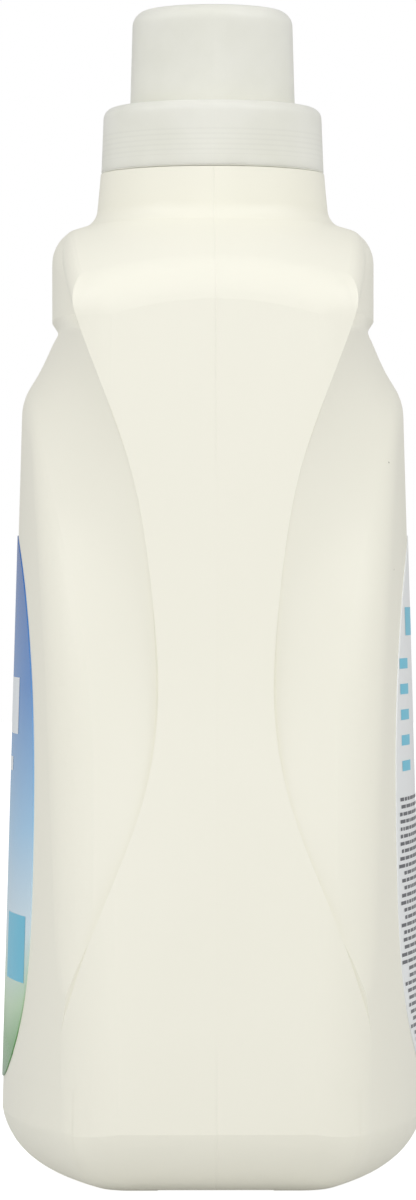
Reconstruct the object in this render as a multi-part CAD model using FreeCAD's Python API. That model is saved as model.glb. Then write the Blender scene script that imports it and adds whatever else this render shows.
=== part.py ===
import FreeCAD
import Part
import math
import os

Vector = FreeCAD.Vector

# Driving dimensions of the bottle, in millimetres: +Z up, width along X, depth along Y.
# The origin is under the middle.
foot_half_width = 70.0
waist_half_width = 60.5
yoke_half_width = 54.0
foot_half_depth = 45.4
face_lean = 3.0
yoke_half_depth = 34.8
face_bow_radius = 150.0
corner_radius = 13.0
hip_tuck = 4.0
chest_tuck = 3.3
spring_flare = 1.2
shoulder_tuck = 1.5
heel_radius = 15.0
heel_outset = 0.4
heel_corner_share = 0.6
bottle_wall = 1.1
base_floor = 1.4

# Levels up the bottle.
below_base = -5.0
foot_level = 18.0
hip_level = 52.0
waist_level = 92.0
chest_level = 123.0
arch_spring_level = 150.0
yoke_start = 182.0
yoke_level = 188.0
shoulder_level = 203.0
spring_flare_rise = 8.0
shoulder_tuck_rise = 4.0
waist_flare_drop = 10.0
waist_end_rise = 6.0

# The hourglass spine down each narrow side, and the soft edge of the arched panels front and back.
spine_foot_half_width = 36.5
spine_hip_half_width = 26.0
spine_waist_half_width = 12.1
spine_chest_half_width = 13.2
spine_spring_half_width = 17.8
spine_yoke_half_width = 31.0
spine_foot_flare = 7.0
spine_waist_flare = 2.6
spine_top_flare = 2.0
crease_step = 1.1
yoke_end_half_width = 13.0
yoke_bend_depth = 30.0
yoke_crown_reach = 30.0
panel_edge_radius = 12.0

# Shoulder, neck and the flat ring under the cap.
shoulder_radius = 98.0
neck_root_radius = 27.4
neck_skirt_radius = 25.0
neck_skirt_top_radius = 24.3
neck_sweep_radius = 4.5
neck_sweep_level = 207.0
neck_sweep_end = 255.0
neck_root_depth = 1.5
yoke_edge_radius = 8.0
spine_end_radius = 12.0
spine_side_radius = 4.0

# Base recess that the bottle stands round.
recess_margin = 6.0
recess_depth = 2.2
recess_slope = 6.0
seam_notch_half_width = 12.0
seam_notch_depth = 0.4

# Neck finish.
finish_radius = 20.6
finish_wall = 2.0
thread_depth = 1.3
thread_lead = 6.0
thread_root_width = 2.4
thread_crest_width = 1.0
bottle_thread_turns = 1.0
cap_thread_turns = 0.9
thread_play = 0.35
thread_bite = 0.3
thread_rim_gap = 0.2
cap_thread_crest_radius = 21.2

# Dosing cap: a cup with a wider skirt.
total_height = 250.0
cup_top_radius = 17.4
cup_root_radius = 17.9
cup_wall = 1.1
cup_corner_radius = 3.5
skirt_top = 228.8
skirt_bottom = 214.9
skirt_top_radius = 23.7
skirt_bottom_radius = 24.15
skirt_wall = 1.2
skirt_edge_radius = 2.4
cup_lip_depth = 18.0
cup_lip_taper = 0.7
cup_lip_draft = 0.3
cap_gap = 0.5
seal_thickness = 0.8
seal_play = 0.4

# Drain-back pouring spout, pressed into the neck.
spout_flange = 1.2
spout_wall = 1.1
spout_tube_radius = 11.5
spout_tube_rise = 11.0
spout_lip_drop = 5.0
spout_well_depth = 22.0
drain_slot_width = 4.0
drain_slot_height = 12.0
spout_fit = 0.05

# Labels.
label_thickness = 0.25
label_bottom = 20.5
label_top = 136.0
label_half_width = 42.0
label_wide_level = 68.0
label_end_share = 0.5
label_side_share = 0.86
label_foot_rise = 1.8
label_low_side_rise = 14.0
label_high_side_drop = 29.0
label_head_drop = 6.5

# Generous reach of cutting solids past the bottle.
beyond = 30.0

# The bowed faces lean back by this much from the foot to the chest.
chest_half_depth = foot_half_depth - face_lean

# Levels that follow from the stack under the cap: the neck's rim, then the spout's flange, then the seal.
finish_top = skirt_top - skirt_wall - seal_thickness - spout_flange
thread_rise = thread_lead * bottle_thread_turns
bottle_thread_level = finish_top - thread_rise - thread_root_width / 2 - thread_rim_gap


def smooth_edge(points, plane):
    """A smooth curve through (across, up) points: the plane names the axis that across runs along."""
    curve = Part.BSplineCurve()
    if plane == "y":
        curve.interpolate([Vector(0, across, up) for across, up in points])
    else:
        curve.interpolate([Vector(across, 0, up) for across, up in points])
    return curve.toShape()


def mirrored_face(edge, normal):
    """The face between an upright edge and its mirror image."""
    other = edge.mirror(Vector(0, 0, 0), normal)
    low, high = edge.firstVertex().Point, edge.lastVertex().Point
    other_low, other_high = other.firstVertex().Point, other.lastVertex().Point
    bottom = Part.makeLine(other_low, low)
    top = Part.makeLine(high, other_high)
    return Part.Face(Part.Wire(Part.__sortEdges__([bottom, edge, top, other])))


def value_at(outline, level):
    """The outline's half width at a level, straight between its points."""
    for (low_value, low), (high_value, high) in zip(outline, outline[1:]):
        if level <= high:
            return low_value + (high_value - low_value) * (level - low) / (high - low)
    return outline[-1][0]


def bow(x, inset):
    """How far the bowed front and back faces fall away at a distance x from the middle."""
    radius = face_bow_radius - inset
    return radius - math.sqrt(radius * radius - x * x)


def spun(edges):
    """A solid of revolution about the bottle's axis from a closed run of edges."""
    return Part.Face(Part.Wire(edges)).revolve(Vector(0, 0, 0), Vector(0, 0, 1), 360)


def revolved(points):
    """A solid of revolution about the bottle's axis from (radius, level) points."""
    corners = [Vector(radius, 0, level) for radius, level in points]
    return spun(Part.makePolygon(corners + corners[:1]).Edges)


# Outlines: (half width or depth, level).
front_outline = [
    (foot_half_width, below_base),
    (foot_half_width, foot_level),
    (foot_half_width - hip_tuck, hip_level),
    (waist_half_width, waist_level),
    (waist_half_width - chest_tuck, chest_level),
    (yoke_half_width + spring_flare, arch_spring_level + spring_flare_rise),
    (yoke_half_width, yoke_level),
    (yoke_half_width - shoulder_tuck, shoulder_level + shoulder_tuck_rise),
]
spine_outline = [
    (spine_foot_half_width + spine_foot_flare, below_base),
    (spine_foot_half_width, foot_level),
    (spine_hip_half_width, hip_level),
    (spine_waist_half_width + spine_waist_flare, waist_level - waist_flare_drop),
    (spine_waist_half_width, waist_level + waist_end_rise),
    (spine_chest_half_width, chest_level),
    (spine_spring_half_width, arch_spring_level),
    (spine_yoke_half_width, yoke_level),
    (spine_yoke_half_width + spine_top_flare, shoulder_level + shoulder_tuck_rise),
]
# Plans of the flanks and panels, as a quarter of each: (level, reach along X, depth) of the flank's
# bend, then (reach, depth) of the crown, which stands proud of the bowed face wherever there is a panel.
flank_plans = [
    (below_base, 53.0, 48.0, 50.0, 75.0),
    (foot_level, 53.0, 48.0, 50.0, 75.0),
    (hip_level, 57.0, 46.0, 50.0, 80.0),
    (waist_level, 56.0, 42.0, 50.0, 80.0),
    (chest_level, 46.5, 37.5, 41.0, 66.0),
    (arch_spring_level, 36.0, 37.5, 22.0, 52.0),
    (arch_spring_level + 12.0, 36.0, 34.5, 17.0, 44.2),
    (arch_spring_level + 18.0, 37.5, 32.6, 15.0, 39.6),
    (arch_spring_level + 22.0, 39.5, 31.5, 16.0, 37.2),
    (yoke_start - 4.5, 46.5, 30.2, 23.0, 34.5),
]
yoke_plan = (yoke_start, yoke_half_width - crease_step, yoke_bend_depth, yoke_crown_reach, yoke_half_depth)


def bowed_slab(inset):
    """The bottle's thickness front to back: two big leaning cylinders, one for each bowed face."""
    radius = face_bow_radius - inset
    height = 2 * total_height
    lean = Vector(0, foot_half_depth - chest_half_depth, chest_level - foot_level).normalize()
    middle = Vector(0, face_bow_radius - foot_half_depth, foot_level)
    front = Part.makeCylinder(radius, height, middle - lean * height / 2, lean)
    back = front.mirror(Vector(0, 0, 0), Vector(0, 1, 0))
    return front.common(back)


def spine_form(inset):
    """The full-depth form with its rounded corners, cut to the hourglass that runs down both narrow sides."""
    widths = smooth_edge([(width - inset, level) for width, level in front_outline], "x")
    front = mirrored_face(widths, Vector(1, 0, 0)).translated(Vector(0, -foot_half_depth - beyond, 0))
    front = front.extrude(Vector(0, 2 * (foot_half_depth + beyond), 0))
    body = front.common(bowed_slab(inset))
    tall = [edge for edge in body.Edges if edge.BoundBox.ZLength > arch_spring_level]
    body = body.makeFillet(corner_radius - inset, tall)
    hourglass = smooth_edge([(width - inset, level) for width, level in spine_outline], "y")
    side = mirrored_face(hourglass, Vector(0, 1, 0)).translated(Vector(-foot_half_width - beyond, 0, 0))
    side = side.extrude(Vector(2 * (foot_half_width + beyond), 0, 0))
    return body.common(side)


def turned(point, sign_x, sign_y):
    """The point's image in another quarter of the plan."""
    return Vector(point.x * sign_x, point.y * sign_y, point.z)


def smooth_outline(end, flank, crown, middle):
    """A closed plan from one quarter of it: flat ends, joined over each face by two smooth curves."""
    def sweep(sign_x, sign_y):
        curve = Part.BezierCurve()
        curve.setPoles([turned(pole, sign_x, sign_y) for pole in (end, flank, crown, middle)])
        return curve.toShape()

    edges = [
        Part.makeLine(turned(end, 1, -1), end),
        sweep(1, 1),
        sweep(-1, 1),
        Part.makeLine(turned(end, -1, 1), turned(end, -1, -1)),
        sweep(-1, -1),
        sweep(1, -1),
    ]
    return Part.Wire(Part.__sortEdges__(edges))


def footprint(half_width, half_depth, radius, level):
    """A closed plan with bowed faces, flat ends and round corners."""
    lean = math.asin(half_width / face_bow_radius)
    half_turn = (math.pi / 2 - lean) / 2
    tangent = radius * math.tan(half_turn)
    end = Vector(half_width, half_depth - bow(half_width, 0.0) - tangent, level)
    run = half_width - tangent * math.cos(lean)
    face = Vector(run, half_depth - bow(run, 0.0), level)
    corner = Vector(half_width - radius, end.y, level)
    corner = corner + Vector(math.cos(half_turn), math.sin(half_turn), 0) * radius
    middle = Vector(0, half_depth, level)
    edges = []
    for turn in (1, -1):
        here = [turned(point, turn, turn) for point in (end, corner, face, middle)]
        there = [turned(point, -turn, turn) for point in (face, corner, end)]
        edges += [
            Part.makeLine(turned(end, turn, -turn), here[0]),
            Part.Arc(here[0], here[1], here[2]).toShape(),
            Part.Arc(here[2], here[3], there[0]).toShape(),
            Part.Arc(there[0], there[1], there[2]).toShape(),
        ]
    return Part.Wire(edges)


def face_depth(x, level):
    """Depth of the bowed faces at a distance x from the middle and a level."""
    slope = (foot_half_depth - chest_half_depth) / (chest_level - foot_level)
    return foot_half_depth - slope * (level - foot_level) - bow(x, 0.0)


def full_reach(y, level):
    """How far the full form, with its rounded corners, reaches along X at a depth y."""
    half_width = value_at(front_outline, level)
    lean = math.asin(half_width / face_bow_radius)
    flat = face_depth(half_width, level) - corner_radius * math.tan((math.pi / 2 - lean) / 2)
    past = min(max(y - flat, 0.0), corner_radius)
    round_reach = half_width - corner_radius + math.sqrt(corner_radius ** 2 - past ** 2)
    centre = face_bow_radius - face_depth(0.0, level)
    face_reach = math.sqrt(face_bow_radius ** 2 - (centre + y) ** 2)
    return min(round_reach, face_reach)


def flank_form(inset):
    """The flanks that slope from the spine's crease and round over into the arched panels front and back."""
    wires = []
    for level, bend_x, bend_y, crown_x, crown_y in flank_plans:
        spine = value_at(spine_outline, level)
        end = Vector(full_reach(spine, level) - crease_step - inset, spine - inset, level)
        bend = Vector(bend_x - inset, bend_y - inset, level)
        crown = Vector(crown_x, crown_y - inset, level)
        wires.append(smooth_outline(end, bend, crown, Vector(0, crown_y - inset, level)))
    wires.append(yoke_outline(inset))
    body = Part.makeLoft(wires, True).common(bowed_slab(inset))
    rims = [edge for edge in body.Edges if rims_panel(edge)]
    return body.makeFillet(panel_edge_radius - inset, rims)


def rims_panel(edge):
    """True for an edge where a flank meets a bowed face: it climbs and swings far in towards the middle."""
    box = edge.BoundBox
    return box.ZLength > arch_spring_level - hip_level and box.XLength > yoke_half_width / 2


def yoke_outline(inset):
    """The plan of the yoke, the block between the panels and the shoulder."""
    level, end_x, bend_y, crown_x, depth = yoke_plan
    end = Vector(end_x - inset, yoke_end_half_width, level)
    bend = Vector(end_x - inset, bend_y - inset, level)
    crown = Vector(crown_x, depth - inset, level)
    return smooth_outline(end, bend, crown, Vector(0, depth - inset, level))


def yoke_form(inset):
    """The yoke under the sloping shoulder, with its upper edge rounded."""
    block = Part.Face(yoke_outline(inset)).extrude(Vector(0, 0, shoulder_level))
    block = block.common(shoulder_form(inset))
    edges = [edge for edge in block.Edges if meets_shoulder(edge)]
    return block.makeFillet(yoke_edge_radius - inset, edges)


def rounded_top(body, end_radius, side_radius):
    """Rounds the edges where a body's upright ends, and then its sides, meet the sloping shoulder."""
    ends = [edge for edge in body.Edges if meets_shoulder(edge) and not runs_along(edge)]
    body = body.makeFillet(end_radius, ends)
    sides = [edge for edge in body.Edges if meets_shoulder(edge) and runs_along(edge)]
    return body.makeFillet(side_radius, sides)


def runs_along(edge):
    """True for a long edge down one side of the bottle's top."""
    box = edge.BoundBox
    return box.XLength > yoke_half_width and min(abs(box.YMin), abs(box.YMax)) > yoke_end_half_width


def meets_shoulder(edge):
    """True for an edge between the shoulder's slope and an upright side of the bottle."""
    box = edge.BoundBox
    return (
        box.ZMin > yoke_start + 1.0
        and box.ZLength < yoke_start - arch_spring_level
        and max(box.XMax, -box.XMin, box.YMax, -box.YMin) > neck_root_radius + 2.0
    )


def shoulder_form(inset):
    """What lies under the domed shoulder, with the neck's swept root and the flat ring below the cap."""
    centre = shoulder_level - math.sqrt(shoulder_radius ** 2 - neck_root_radius ** 2)
    radius = shoulder_radius - inset
    dome = Part.makeSphere(radius, Vector(0, 0, centre), Vector(0, 0, 1), 0, 90)
    dome = dome.fuse(Part.makeCylinder(radius, centre - below_base, Vector(0, 0, below_base)))
    root = shoulder_level - inset - neck_root_depth
    top = skirt_bottom - cap_gap - inset
    sweep_centre = Vector(neck_skirt_radius + neck_sweep_radius, 0, neck_sweep_level)
    sweep_points = []
    for angle in (neck_sweep_end, (neck_sweep_end + 180.0) / 2, 180.0):
        turn = math.radians(angle)
        out = Vector(math.cos(turn), 0, math.sin(turn))
        sweep_points.append(sweep_centre + out * (neck_sweep_radius + inset))
    low, high = sweep_points[0], sweep_points[2]
    below = [Vector(0, 0, top), Vector(0, 0, root), Vector(low.x, 0, root), low]
    above = [high, Vector(neck_skirt_top_radius - inset, 0, top), Vector(0, 0, top)]
    sweep = Part.Arc(*sweep_points).toShape()
    return dome.fuse(spun(Part.makePolygon(below).Edges + [sweep] + Part.makePolygon(above).Edges))


def heel_form(inset, floor):
    """A tall plan outline whose bottom edge is rounded all round: it gives the bottle its heel."""
    radius = heel_radius - inset
    wires = []
    for angle in (0, 15, 30, 45, 60, 75, 90):
        turn = math.radians(angle)
        shrink = radius * (1 - math.sin(turn)) + inset - heel_outset
        level = floor + radius * (1 - math.cos(turn))
        corner = corner_radius - shrink * heel_corner_share
        wires.append(footprint(foot_half_width - shrink, foot_half_depth - shrink, corner, level))
    tall = Part.Face(wires[-1]).extrude(Vector(0, 0, total_height))
    return Part.makeLoft(wires, True).fuse(tall)


def recess_form(growth):
    """The shallow recess that leaves a rim for the bottle to stand on."""
    rim = heel_radius + recess_margin - growth
    top = recess_depth + growth
    wires = []
    for shrink, level in ((rim - recess_slope, -top), (rim + recess_slope, top)):
        radius = corner_radius - heel_radius * heel_corner_share
        wires.append(footprint(foot_half_width - shrink, foot_half_depth - shrink, radius, level))
    return Part.makeLoft(wires, True, True)


def body_form(inset, floor):
    """The whole blown body, shrunk by an inset: once for the outside and once for the inside."""
    spine = spine_form(inset).common(shoulder_form(inset))
    spine = rounded_top(spine, spine_end_radius - inset, spine_side_radius - inset)
    body = flank_form(inset).fuse(yoke_form(inset)).fuse(spine)
    return body.common(heel_form(inset, floor))


def thread(radius, depth, level, turns):
    """A helical ridge on a cylinder: a negative depth points inwards."""
    path = Part.makeHelix(thread_lead, thread_lead * turns, radius)
    hidden = math.copysign(thread_bite, depth)
    root = thread_root_width / 2
    crest = thread_crest_width / 2
    corners = [
        Vector(radius - hidden, 0, -root),
        Vector(radius + depth, 0, -crest),
        Vector(radius + depth, 0, crest),
        Vector(radius - hidden, 0, root),
    ]
    profile = Part.makePolygon(corners + corners[:1])
    return Part.Wire(path).makePipeShell([profile], True, True).translated(Vector(0, 0, level))


def bottle():
    """The blown bottle with its neck finish: one hollow piece."""
    outside = body_form(0.0, 0.0).cut(recess_form(0.0))
    notch_reach = foot_half_width + beyond
    notch = Part.makeBox(2 * notch_reach, 2 * seam_notch_half_width, 2 * seam_notch_depth)
    notch = notch.translated(Vector(-notch_reach, -seam_notch_half_width, -seam_notch_depth))
    outside = outside.cut(notch)
    inside = body_form(bottle_wall, base_floor).cut(recess_form(base_floor))
    shell = Part.makeSolid(Part.makeCompound([outside.Shells[0], inside.Shells[0].reversed()]))
    bore = finish_radius - finish_wall
    neck_root = skirt_bottom - cap_gap - bottle_wall
    finish = revolved([
        (bore, neck_root),
        (neck_skirt_top_radius - 2 * bottle_wall, neck_root),
        (finish_radius, neck_root + bottle_wall),
        (finish_radius, finish_top),
        (bore, finish_top),
    ])
    drill = Part.makeCylinder(bore, 2 * bottle_wall, Vector(0, 0, neck_root - bottle_wall / 2))
    ridge = thread(finish_radius, thread_depth, bottle_thread_level, bottle_thread_turns)
    return shell.cut(drill).fuse(finish).fuse(ridge)


def pour_spout():
    """The drain-back spout: a flanged cup pressed into the neck, with a slit tube to pour from."""
    ring_outer = finish_radius - finish_wall - spout_fit
    ring_inner = ring_outer - spout_wall
    floor = finish_top - spout_well_depth
    tube_top = skirt_top + spout_tube_rise
    tube_inner = spout_tube_radius - spout_wall
    body = revolved([
        (tube_inner, floor - spout_wall),
        (ring_outer, floor - spout_wall),
        (ring_outer, finish_top),
        (finish_radius, finish_top),
        (finish_radius, finish_top + spout_flange),
        (ring_inner, finish_top + spout_flange),
        (ring_inner, floor),
        (spout_tube_radius, floor),
        (spout_tube_radius, tube_top),
        (tube_inner, tube_top),
    ])
    slant = math.degrees(math.atan(spout_lip_drop / (2 * spout_tube_radius)))
    trim = Part.makeBox(beyond * 2, beyond * 2, beyond)
    trim = trim.translated(Vector(-beyond, -beyond, 0))
    trim.rotate(Vector(0, 0, 0), Vector(1, 0, 0), -slant)
    trim.translate(Vector(0, 0, tube_top - spout_lip_drop / 2))
    slit = Part.makeBox(drain_slot_width, spout_tube_radius, drain_slot_height)
    slit = slit.translated(Vector(-drain_slot_width / 2, 0, floor))
    return body.cut(trim).cut(slit)


def cap_thread_level():
    """The cap's thread lies just under the bottle's, which it pulls against when it is tight."""
    overlap = (finish_radius + thread_depth - cap_thread_crest_radius) / thread_depth
    widths = thread_crest_width + overlap * (thread_root_width - thread_crest_width) / 2
    return bottle_thread_level - widths - thread_play


def dosing_cap():
    """The dosing cap: a cup, upside down on the bottle, with a threaded skirt moulded round it."""
    skirt_inner = skirt_top_radius - skirt_wall
    lip_level = skirt_top - cup_lip_depth
    lip_outer = cup_root_radius - cup_lip_taper
    cup_inner_top = total_height - cup_wall
    inner_corner = cup_corner_radius - cup_wall
    root = skirt_top - skirt_wall

    def point(radius, level):
        return Vector(radius, 0, level)

    def bend(centre, radius, start, end):
        angles = [math.radians(start), math.radians((start + end) / 2), math.radians(end)]
        return Part.Arc(*[centre + point(math.cos(a), math.sin(a)) * radius for a in angles]).toShape()

    def bend_ends(edge):
        return edge.valueAt(edge.FirstParameter), edge.valueAt(edge.LastParameter)

    top_centre = point(cup_top_radius - cup_corner_radius, total_height - cup_corner_radius)
    edge_centre = point(skirt_top_radius - skirt_edge_radius, skirt_top - skirt_edge_radius)
    top_bend = bend(top_centre, cup_corner_radius, 90, 0)
    edge_bend = bend(edge_centre, skirt_edge_radius, 90, 0)
    inner_bend = bend(top_centre, inner_corner, 0, 90)
    top_start, top_end = bend_ends(top_bend)
    edge_start, edge_end = bend_ends(edge_bend)
    inner_start, inner_end = bend_ends(inner_bend)
    corners = [
        [point(0, cup_inner_top), point(0, total_height), top_start],
        [top_end, point(cup_root_radius, skirt_top), edge_start],
        [
            edge_end,
            point(skirt_bottom_radius, skirt_bottom),
            point(skirt_inner, skirt_bottom),
            point(skirt_inner, root),
            point(lip_outer, root),
            point(lip_outer - cup_lip_draft, lip_level),
            point(lip_outer - cup_lip_draft - cup_wall, lip_level),
            point(cup_root_radius - cup_lip_taper - cup_wall, root),
            inner_start,
        ],
        [inner_end, point(0, cup_inner_top)],
    ]
    runs = [Part.makePolygon(run).Edges for run in corners]
    outline = runs[0] + [top_bend] + runs[1] + [edge_bend] + runs[2] + [inner_bend] + runs[3]
    body = spun(outline)
    ridge = thread(skirt_inner, cap_thread_crest_radius - skirt_inner, cap_thread_level(), cap_thread_turns)
    return body.fuse(ridge)


def seal_ring():
    """The flat foam ring that the cap squeezes onto the spout's flange."""
    seat = finish_top + spout_flange
    inner = cup_root_radius + seal_play
    return revolved([
        (inner, seat),
        (finish_radius, seat),
        (finish_radius, seat + seal_thickness),
        (inner, seat + seal_thickness),
    ])


def label(side):
    """A label on the bowed face of the front (side -1) or back (side +1) panel."""
    right = [
        (label_half_width * label_end_share, label_bottom + label_foot_rise),
        (label_half_width * label_side_share, label_bottom + label_low_side_rise),
        (label_half_width, label_wide_level),
        (label_half_width * label_side_share, label_top - label_high_side_drop),
        (label_half_width * label_end_share, label_top - label_head_drop),
    ]
    left = [(-width, level) for width, level in reversed(right)]
    points = [(0.0, label_bottom)] + right + [(0.0, label_top)] + left
    curve = Part.BSplineCurve()
    curve.interpolate([Vector(across, 0, up) for across, up in points], PeriodicFlag=True)
    outline = Part.Face(Part.Wire([curve.toShape()]))
    prism = outline.extrude(Vector(0, side * (foot_half_depth + beyond), 0))
    grown = bowed_slab(-label_thickness)
    return prism.common(grown).cut(bowed_slab(0.0))


parts = {
    "bottle": bottle(),
    "pour_spout": pour_spout(),
    "dosing_cap": dosing_cap(),
    "seal_ring": seal_ring(),
    "front_label": label(-1),
    "back_label": label(1),
}

os.makedirs("parts", exist_ok=True)
for name, shape in parts.items():
    shape.exportStep("parts/" + name + ".step")
    print(name, shape.isValid(), len(shape.Solids), round(shape.Volume), "mm3")
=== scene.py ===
"""The looks of a white laundry detergent bottle with a natural dosing cap, on a plain white ground.

The bottle stands on the ground with its front label towards -Y. The picture is taken from +X, along the
bottle's width, so the narrow side faces the camera. Sizes are in metres, and MM is a millimetre.
"""

import math
import random

import bpy
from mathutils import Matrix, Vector

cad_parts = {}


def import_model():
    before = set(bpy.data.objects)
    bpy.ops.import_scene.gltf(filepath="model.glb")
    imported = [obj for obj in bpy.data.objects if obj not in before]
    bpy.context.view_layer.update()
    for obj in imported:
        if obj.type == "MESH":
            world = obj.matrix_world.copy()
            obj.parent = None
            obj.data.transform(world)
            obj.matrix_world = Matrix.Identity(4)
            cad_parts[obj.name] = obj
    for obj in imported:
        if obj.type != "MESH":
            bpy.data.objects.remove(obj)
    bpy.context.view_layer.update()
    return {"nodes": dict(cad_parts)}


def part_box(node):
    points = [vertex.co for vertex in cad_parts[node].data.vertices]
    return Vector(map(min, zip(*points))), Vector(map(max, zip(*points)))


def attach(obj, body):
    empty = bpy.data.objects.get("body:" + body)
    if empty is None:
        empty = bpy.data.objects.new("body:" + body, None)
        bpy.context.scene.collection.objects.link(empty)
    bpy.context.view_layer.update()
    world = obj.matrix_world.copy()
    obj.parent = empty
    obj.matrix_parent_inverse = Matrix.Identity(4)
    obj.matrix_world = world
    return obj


MM = 0.001

# A distance from the bottle's axis that is well outside it, from which rays look for its surface.
OUTSIDE = 150.0 * MM

# The camera stands level with the bottle's middle and looks at its narrow side.
CAMERA_DISTANCE = 1.119
CAMERA_HEIGHT = 0.122
CAMERA_TURN = math.radians(0.7)
FOCAL_PIXELS = 5145.0
IMAGE_HEIGHT_PIXELS = 1200.0
IMAGE_MIDDLE_PIXELS = 208.0
AXIS_PIXELS = 212.5
SENSOR = 24.0

# The fine parting line that the two halves of the mould leave down each narrow side. It is fainter over
# a stretch round the middle.
SEAM_HALF_WIDTH = 0.20 * MM
SEAM_HEIGHT = 0.05 * MM
SEAM_FAINT_MIDDLE = 90.0 * MM
SEAM_FAINT_HALF_LENGTH = 52.0 * MM
SEAM_FADE = 12.0 * MM
SEAM_LEAST = 0.25
GRAIN_SHARE = 0.12

# Sparse dark specks in the plastic: how far apart the chances for one lie, its size, and how few are taken.
SPECK_SPACING = 17.0 * MM
SPECK_RADIUS = 0.22 * MM
SPECK_SHARE = 0.25

# The faint rings that the thread makes round the cap's collar.
RING_MIDDLE = 220.0 * MM
RING_HALF_LENGTH = 3.0 * MM
RING_SPACING = 1.1 * MM
RING_DEPTH = 0.035

# The thin lip under the cap's skirt, which nearly closes the gap to the neck: its (radius, level) corners
# in millimetres.
CAP_LIP = [(22.9, 214.9), (22.9, 214.5), (23.95, 214.5), (24.1, 214.65), (24.13, 214.9)]
CAP_LIP_SIDES = 96

# The corners of the foot that get a thin skin: their range of levels and of angles round the bottle.
SKIN_LOW = 5.0 * MM
SKIN_HIGH = 21.5 * MM
SKIN_START = math.radians(24.0)
SKIN_END = math.radians(50.0)
SKIN_ROWS = 33
SKIN_COLUMNS = 52
SKIN_LIFT = 0.03 * MM

# The labels' print. A bar is its left, right, bottom and top, in millimetres from the label's middle
# and foot.
INK_LIFT = 0.04 * MM
BAR_STEP = 6.0 * MM
FRONT_WAVE_HEIGHT = 0.03
FRONT_WAVES = 70.0
FRONT_PANEL = (16.0, 38.0, 22.0, 36.0)
FRONT_BARS = [(-24.0, 24.0, 74.0, 86.0), (-16.0, 16.0, 66.0, 69.0)]
BACK_BAND = (-26.0, 26.0, 95.0, 101.0)
BACK_MARK = (24.0, 35.0, 88.0, 90.2)
BACK_MARKS = 5
BACK_MARK_SPACING = 5.4
WORD_ROWS = 34
WORD_ROW_SPACING = 1.55
WORD_FIRST_ROW = 9.0
WORD_HALF_WIDTH = 37.0
WORD_HEIGHT = 0.75
WORD_GAP = 0.9
WORD_SHORTEST = 1.5
WORD_LONGEST = 6.0

# The light from all round, and the ground's own colour. The ground glows a little, which keeps it white,
# and more so where the camera looks at it.
SURROUND_LIGHT = (0.515, 0.515, 0.515)
GROUND_SIZE = 8.0
GROUND_COLOUR = (0.6, 0.6, 0.6)
GROUND_GLOW = 0.2
GROUND_EXTRA_GLOW_SEEN = 0.65

# The soft lamps: the place of each, the point that it shines at, the length of its side, and its power.
BOTTLE_MIDDLE = (0.0, 0.0, 0.12)
BOTTLE_SHOULDER = (0.0, 0.0, 0.2)
LAMPS = {
    "key": ((0.64, 0.0, 0.46), BOTTLE_MIDDLE, 0.4, 0.84),
    "left": ((0.40, -0.75, 0.80), BOTTLE_MIDDLE, 0.6, 3.15),
    "right": ((0.40, 0.75, 0.80), BOTTLE_MIDDLE, 0.6, 3.15),
    "top": ((0.35, 0.0, 0.80), BOTTLE_SHOULDER, 0.5, 0.2),
}


def shader(name):
    """A new material: its node tree, and its principled shader."""
    material = bpy.data.materials.new(name)
    material.use_nodes = True
    tree = material.node_tree
    return material, tree, tree.nodes["Principled BSDF"]


def calculate(tree, operation, first, second=0.0, third=0.0):
    """One step of arithmetic in a node tree; each value is a number or another node's output."""
    node = tree.nodes.new("ShaderNodeMath")
    node.operation = operation
    for socket, value in zip(node.inputs, (first, second, third)):
        if isinstance(value, (int, float)):
            socket.default_value = value
        else:
            tree.links.new(value, socket)
    return node.outputs[0]


def place(tree):
    """The x, y and z of the point being shaded, in the frame's metres."""
    coordinates = tree.nodes.new("ShaderNodeTexCoord")
    split = tree.nodes.new("ShaderNodeSeparateXYZ")
    tree.links.new(coordinates.outputs["Object"], split.inputs[0])
    return coordinates.outputs["Object"], split.outputs


def noise(tree, where, scale):
    """A smooth random pattern with so many features to the metre."""
    node = tree.nodes.new("ShaderNodeTexNoise")
    node.inputs["Scale"].default_value = scale
    node.inputs["Detail"].default_value = 3.0
    tree.links.new(where, node.inputs["Vector"])
    return node.outputs["Fac"]


def ramp(tree, value, stops):
    """A colour ramp over (position, colour) stops."""
    node = tree.nodes.new("ShaderNodeValToRGB")
    elements = node.color_ramp.elements
    while len(elements) < len(stops):
        elements.new(0.5)
    for element, (position, colour) in zip(elements, stops):
        element.position = position
        element.color = (*colour, 1.0)
    tree.links.new(value, node.inputs["Fac"])
    return node.outputs["Color"]


def mix(tree, factor, first, second):
    """A colour mix; each colour is a triple or another node's output."""
    node = tree.nodes.new("ShaderNodeMix")
    node.data_type = "RGBA"
    tree.links.new(factor, node.inputs["Factor"])
    for socket, colour in ((node.inputs["A"], first), (node.inputs["B"], second)):
        if isinstance(colour, tuple):
            socket.default_value = (*colour, 1.0)
        else:
            tree.links.new(colour, socket)
    return node.outputs["Result"]


def bump(tree, principled, height, distance):
    """Shades a surface as if its height varied by up to a distance."""
    node = tree.nodes.new("ShaderNodeBump")
    node.inputs["Distance"].default_value = distance
    node.inputs["Strength"].default_value = 1.0
    tree.links.new(height, node.inputs["Height"])
    tree.links.new(node.outputs["Normal"], principled.inputs["Normal"])


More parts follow.
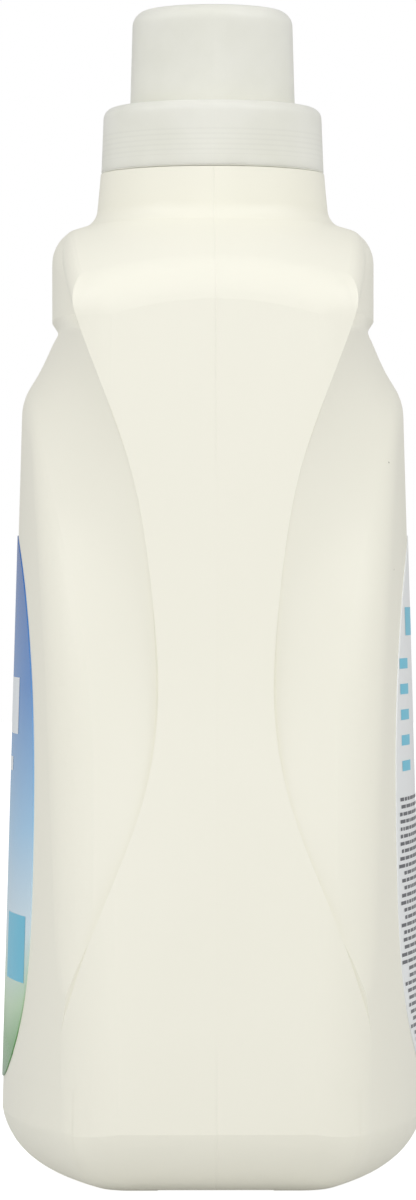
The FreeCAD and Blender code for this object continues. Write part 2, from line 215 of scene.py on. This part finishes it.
def blown_plastic():
    """White polyethylene: satin, a little uneven, with the mould's parting line."""
    material, tree, principled = shader("white polyethylene")
    where, (_, y, z) = place(tree)
    tint = noise(tree, where, 14.0)
    colour = ramp(tree, tint, [(0.3, (0.867, 0.851, 0.74)), (0.7, (0.887, 0.871, 0.765))])
    colour = mix(tree, speckles(tree, where), colour, (0.30, 0.28, 0.22))
    tree.links.new(colour, principled.inputs["Base Color"])
    principled.inputs["Roughness"].default_value = 0.42
    principled.inputs["Specular IOR Level"].default_value = 0.35
    across = calculate(tree, "DIVIDE", calculate(tree, "ABSOLUTE", y), SEAM_HALF_WIDTH)
    seam = calculate(tree, "SUBTRACT", 1.0, calculate(tree, "MINIMUM", across, 1.0))
    from_middle = calculate(tree, "ABSOLUTE", calculate(tree, "SUBTRACT", z, SEAM_FAINT_MIDDLE))
    past_faint = calculate(tree, "SUBTRACT", from_middle, SEAM_FAINT_HALF_LENGTH)
    presence = calculate(tree, "DIVIDE", past_faint, SEAM_FADE)
    presence = calculate(tree, "MAXIMUM", calculate(tree, "MINIMUM", presence, 1.0), SEAM_LEAST)
    seam = calculate(tree, "MULTIPLY", seam, presence)
    grain = calculate(tree, "MULTIPLY", noise(tree, where, 420.0), GRAIN_SHARE)
    bump(tree, principled, calculate(tree, "ADD", seam, grain), SEAM_HEIGHT)
    return material


def speckles(tree, where):
    """1 inside a sparse scatter of tiny specks, 0 elsewhere."""
    cells = tree.nodes.new("ShaderNodeTexVoronoi")
    cells.inputs["Scale"].default_value = 1.0 / SPECK_SPACING
    tree.links.new(where, cells.inputs["Vector"])
    near = calculate(tree, "LESS_THAN", cells.outputs["Distance"], SPECK_RADIUS / SPECK_SPACING)
    chance = tree.nodes.new("ShaderNodeSeparateColor")
    tree.links.new(cells.outputs["Color"], chance.inputs["Color"])
    taken = calculate(tree, "LESS_THAN", chance.outputs["Red"], SPECK_SHARE)
    return calculate(tree, "MULTIPLY", near, taken)


def cap_plastic():
    """Natural polypropylene: milky, so the thread and the spout show through it dimly."""
    material, tree, principled = shader("natural polypropylene")
    where, (_, _, z) = place(tree)
    milky = [(0.35, (0.885, 0.885, 0.785)), (0.65, (0.94, 0.938, 0.845))]
    cloud = ramp(tree, noise(tree, where, 55.0), milky)
    wave = calculate(tree, "SINE", calculate(tree, "MULTIPLY", z, 2.0 * math.pi / RING_SPACING))
    from_middle = calculate(tree, "ABSOLUTE", calculate(tree, "SUBTRACT", z, RING_MIDDLE))
    among = calculate(tree, "LESS_THAN", from_middle, RING_HALF_LENGTH)
    shade = calculate(tree, "MULTIPLY", calculate(tree, "MAXIMUM", wave, 0.0), RING_DEPTH)
    shade = calculate(tree, "MULTIPLY", shade, among)
    tree.links.new(mix(tree, shade, cloud, (0.0, 0.0, 0.0)), principled.inputs["Base Color"])
    principled.inputs["Roughness"].default_value = 0.30
    principled.inputs["IOR"].default_value = 1.3
    principled.inputs["Transmission Weight"].default_value = 0.12
    principled.inputs["Subsurface Weight"].default_value = 0.3
    principled.inputs["Subsurface Radius"].default_value = (1.0, 1.0, 0.95)
    principled.inputs["Subsurface Scale"].default_value = 0.004
    bump(tree, principled, noise(tree, where, 300.0), 0.03 * MM)
    return material


def spout_plastic():
    """Plain white polyethylene."""
    material, _, principled = shader("spout polyethylene")
    principled.inputs["Base Color"].default_value = (0.90, 0.90, 0.86, 1.0)
    principled.inputs["Roughness"].default_value = 0.45
    return material


def seal_foam():
    """Pale, dull foam with a fine grain."""
    material, tree, principled = shader("seal foam")
    where, _ = place(tree)
    principled.inputs["Base Color"].default_value = (0.85, 0.85, 0.82, 1.0)
    principled.inputs["Roughness"].default_value = 0.9
    bump(tree, principled, noise(tree, where, 900.0), 0.05 * MM)
    return material


def front_film(low, high):
    """The front label: deep blue that runs down to pale blue, over a green foot with a soft wave."""
    material, tree, principled = shader("front film")
    _, (x, _, z) = place(tree)
    rise = calculate(tree, "DIVIDE", calculate(tree, "SUBTRACT", z, low.z), high.z - low.z)
    wave = calculate(tree, "SINE", calculate(tree, "MULTIPLY", x, FRONT_WAVES))
    level = calculate(tree, "ADD", rise, calculate(tree, "MULTIPLY", wave, FRONT_WAVE_HEIGHT))
    field = ramp(tree, level, [
        (0.00, (0.03, 0.16, 0.05)),
        (0.10, (0.12, 0.36, 0.10)),
        (0.17, (0.45, 0.66, 0.42)),
        (0.30, (0.66, 0.82, 0.90)),
        (0.48, (0.33, 0.60, 0.86)),
        (0.75, (0.05, 0.24, 0.62)),
        (1.00, (0.02, 0.13, 0.45)),
    ])
    tree.links.new(field, principled.inputs["Base Color"])
    principled.inputs["Roughness"].default_value = 0.25
    return material


def plain_film(name, colour):
    """A label's film or ink in one colour."""
    material, _, principled = shader(name)
    principled.inputs["Base Color"].default_value = (*colour, 1.0)
    principled.inputs["Roughness"].default_value = 0.3
    return material


def piece_of(name, vertices, faces, material, body):
    """A smooth-shaded piece of the scene that rides on a body."""
    mesh = bpy.data.meshes.new(name)
    mesh.from_pydata(vertices, [], faces)
    mesh.shade_smooth()
    mesh.materials.append(material)
    piece = bpy.data.objects.new(name, mesh)
    bpy.context.collection.objects.link(piece)
    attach(piece, body)


class Print:
    """Flat printed shapes on a label: each is a strip of small faces that follows the label's surface."""

    def __init__(self, name, label, side, foot):
        self.name = name
        self.label = label
        self.side = side
        self.foot = foot
        self.vertices = []
        self.faces = []

    def touch(self, x, z):
        """The point of the label's outer surface at x and z, lifted by the thickness of the ink."""
        start = Vector((x, self.side * OUTSIDE, z))
        found, point, _, _ = self.label.ray_cast(start, Vector((0, -self.side, 0)))
        if not found:
            return None
        return (x, point.y + self.side * INK_LIFT, z)

    def bar(self, left, right, bottom, top):
        """A rectangle in the label's own millimetres, left out where it would pass the label's edge."""
        length = (right - left) * MM
        count = max(1, math.ceil(length / BAR_STEP))
        across = [left * MM + length * i / count for i in range(count + 1)]
        levels = [self.foot + bottom * MM, self.foot + top * MM]
        points = [self.touch(x, z) for x in across for z in levels]
        if any(point is None for point in points):
            return
        first = len(self.vertices)
        self.vertices.extend(points)
        for i in range(count):
            a = first + 2 * i
            self.faces.append((a, a + 2, a + 3, a + 1))

    def finish(self, ink):
        """Makes the piece from its strips."""
        piece_of(self.name, self.vertices, self.faces, ink, "bottle_body")


def back_print(label):
    """The back label's print: a cyan band and marks, and rows of small dark dashes in place of words."""
    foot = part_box("back_label")[0].z
    marks = Print("back_cyan_print", label, 1, foot)
    marks.bar(*BACK_BAND)
    left, right, bottom, top = BACK_MARK
    for row in range(BACK_MARKS):
        drop = row * BACK_MARK_SPACING
        marks.bar(left, right, bottom - drop, top - drop)
    marks.finish(plain_film("cyan ink", (0.08, 0.55, 0.75)))
    words = Print("back_dark_print", label, 1, foot)
    chance = random.Random(7)
    for row in range(WORD_ROWS):
        level = WORD_FIRST_ROW + row * WORD_ROW_SPACING
        x = -WORD_HALF_WIDTH
        while x < WORD_HALF_WIDTH:
            length = chance.uniform(WORD_SHORTEST, WORD_LONGEST)
            words.bar(x, x + length, level, level + WORD_HEIGHT)
            x += length + WORD_GAP
    words.finish(plain_film("dark ink", (0.03, 0.035, 0.05)))


def front_print(label):
    """The front label's print: one cyan panel low on the label, and two pale bars across its upper half."""
    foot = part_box("front_label")[0].z
    panel = Print("front_cyan_print", label, -1, foot)
    panel.bar(*FRONT_PANEL)
    panel.finish(plain_film("cyan panel ink", (0.06, 0.50, 0.72)))
    bars = Print("front_pale_print", label, -1, foot)
    for bar in FRONT_BARS:
        bars.bar(*bar)
    bars.finish(plain_film("pale ink", (0.85, 0.90, 0.93)))


def cap_lip(material):
    """The lip under the cap's skirt: a ring swept from its corners."""
    vertices = []
    faces = []
    corners = len(CAP_LIP)
    for step in range(CAP_LIP_SIDES):
        turn = 2.0 * math.pi * step / CAP_LIP_SIDES
        for radius, level in CAP_LIP:
            vertices.append((radius * MM * math.cos(turn), radius * MM * math.sin(turn), level * MM))
        here = step * corners
        there = (step + 1) % CAP_LIP_SIDES * corners
        for corner in range(corners):
            after = (corner + 1) % corners
            faces.append((here + corner, here + after, there + after, there + corner))
    piece_of("cap_lip", vertices, faces, material, "cap_body")


def outer_line(points):
    """The same points round a section, moved out to the line that bridges every hollow between them."""
    hull = []
    for point in points:
        while len(hull) > 1 and (hull[-1] - hull[-2]).cross(point - hull[-1]) <= 0.0:
            hull.pop()
        hull.append(point)
    bridged = []
    segment = 0
    for point in points:
        while segment < len(hull) - 2 and hull[segment + 1].cross(point) > 0.0:
            segment += 1
        start, along = hull[segment], hull[segment + 1] - hull[segment]
        reach = start.cross(along) / point.cross(along)
        bridged.append(point * reach)
    return bridged


def foot_skins(bottle, material):
    """A thin skin over each corner of the foot, which closes the fine groove that the solid has there."""
    for number, (side_x, side_y) in enumerate(((1, 1), (-1, 1), (-1, -1), (1, -1))):
        vertices = []
        for row in range(SKIN_ROWS + 1):
            level = SKIN_LOW + (SKIN_HIGH - SKIN_LOW) * row / SKIN_ROWS
            points = []
            for column in range(SKIN_COLUMNS + 1):
                angle = SKIN_START + (SKIN_END - SKIN_START) * column / SKIN_COLUMNS
                out = Vector((math.cos(angle) * side_x, math.sin(angle) * side_y, 0.0))
                _, point, _, _ = bottle.ray_cast(out * OUTSIDE + Vector((0.0, 0.0, level)), -out)
                points.append(Vector((point.x * side_x, point.y * side_y)))
            for point in outer_line(points):
                lifted = point + point.normalized() * SKIN_LIFT
                vertices.append((lifted.x * side_x, lifted.y * side_y, level))
        faces = []
        width = SKIN_COLUMNS + 1
        for row in range(SKIN_ROWS):
            for column in range(SKIN_COLUMNS):
                a = row * width + column
                face = (a, a + 1, a + 1 + width, a + width)
                faces.append(face if side_x * side_y > 0 else face[::-1])
        name = "foot_skin_" + str(number + 1)
        piece_of(name, vertices, faces, material, "bottle_body")


def dress(frame):
    """Gives every solid of the frame its material."""
    low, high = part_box("front_label")
    looks = {
        "bottle": blown_plastic(),
        "dosing_cap": cap_plastic(),
        "pour_spout": spout_plastic(),
        "seal_ring": seal_foam(),
        "front_label": front_film(low, high),
        "back_label": plain_film("back film", (0.86, 0.88, 0.88)),
    }
    for name, material in looks.items():
        mesh = frame["nodes"][name].data
        mesh.materials.clear()
        mesh.materials.append(material)
    foot_skins(frame["nodes"]["bottle"], looks["bottle"])
    cap_lip(looks["dosing_cap"])


def lamp(name, position, target, size, power):
    """A square soft light that shines from a place towards a target."""
    data = bpy.data.lights.new(name, "AREA")
    data.size = size
    data.energy = power
    light = bpy.data.objects.new(name, data)
    light.location = position
    light.rotation_euler = (Vector(target) - Vector(position)).to_track_quat("-Z", "Y").to_euler()
    bpy.context.collection.objects.link(light)


def surroundings():
    """A white surround and a white ground, with soft lamps round the bottle."""
    world = bpy.data.worlds.new("white surround")
    bpy.context.scene.world = world
    world.use_nodes = True
    tree = world.node_tree
    background = tree.nodes["Background"]
    rays = tree.nodes.new("ShaderNodeLightPath")
    seen = calculate(tree, "MAXIMUM", rays.outputs["Is Camera Ray"], rays.outputs["Is Transmission Ray"])
    colour = mix(tree, seen, SURROUND_LIGHT, (1.0, 1.0, 1.0))
    tree.links.new(colour, background.inputs["Color"])

    bpy.ops.mesh.primitive_plane_add(size=GROUND_SIZE, location=(0, 0, 0))
    floor = bpy.context.object
    floor.name = "floor"
    material, tree, principled = shader("white ground")
    principled.inputs["Base Color"].default_value = (*GROUND_COLOUR, 1.0)
    principled.inputs["Roughness"].default_value = 0.9
    principled.inputs["Specular IOR Level"].default_value = 0.0
    principled.inputs["Emission Color"].default_value = (1.0, 1.0, 1.0, 1.0)
    watched = tree.nodes.new("ShaderNodeLightPath").outputs["Is Camera Ray"]
    glow = calculate(tree, "MULTIPLY_ADD", watched, GROUND_EXTRA_GLOW_SEEN, GROUND_GLOW)
    tree.links.new(glow, principled.inputs["Emission Strength"])
    floor.data.materials.append(material)

    for name, (position, target, size, power) in LAMPS.items():
        lamp(name, position, target, size, power)


def camera():
    """The photograph's view: from +X, level, with a long lens."""
    data = bpy.data.cameras.new("camera")
    data.sensor_fit = "VERTICAL"
    data.sensor_height = SENSOR
    data.lens = SENSOR * FOCAL_PIXELS / IMAGE_HEIGHT_PIXELS
    eye = bpy.data.objects.new("camera", data)
    bpy.context.collection.objects.link(eye)
    eye.location = (
        CAMERA_DISTANCE * math.cos(CAMERA_TURN),
        -CAMERA_DISTANCE * math.sin(CAMERA_TURN),
        CAMERA_HEIGHT,
    )
    offset = math.atan((AXIS_PIXELS - IMAGE_MIDDLE_PIXELS) / FOCAL_PIXELS)
    eye.rotation_euler = (math.pi / 2, 0.0, math.pi / 2 - CAMERA_TURN + offset)
    bpy.context.scene.camera = eye


def main():
    """Dresses the bottle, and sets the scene."""
    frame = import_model()
    dress(frame)
    front_print(frame["nodes"]["front_label"])
    back_print(frame["nodes"]["back_label"])
    surroundings()
    camera()
    bpy.context.scene.view_settings.view_transform = "Standard"


main()
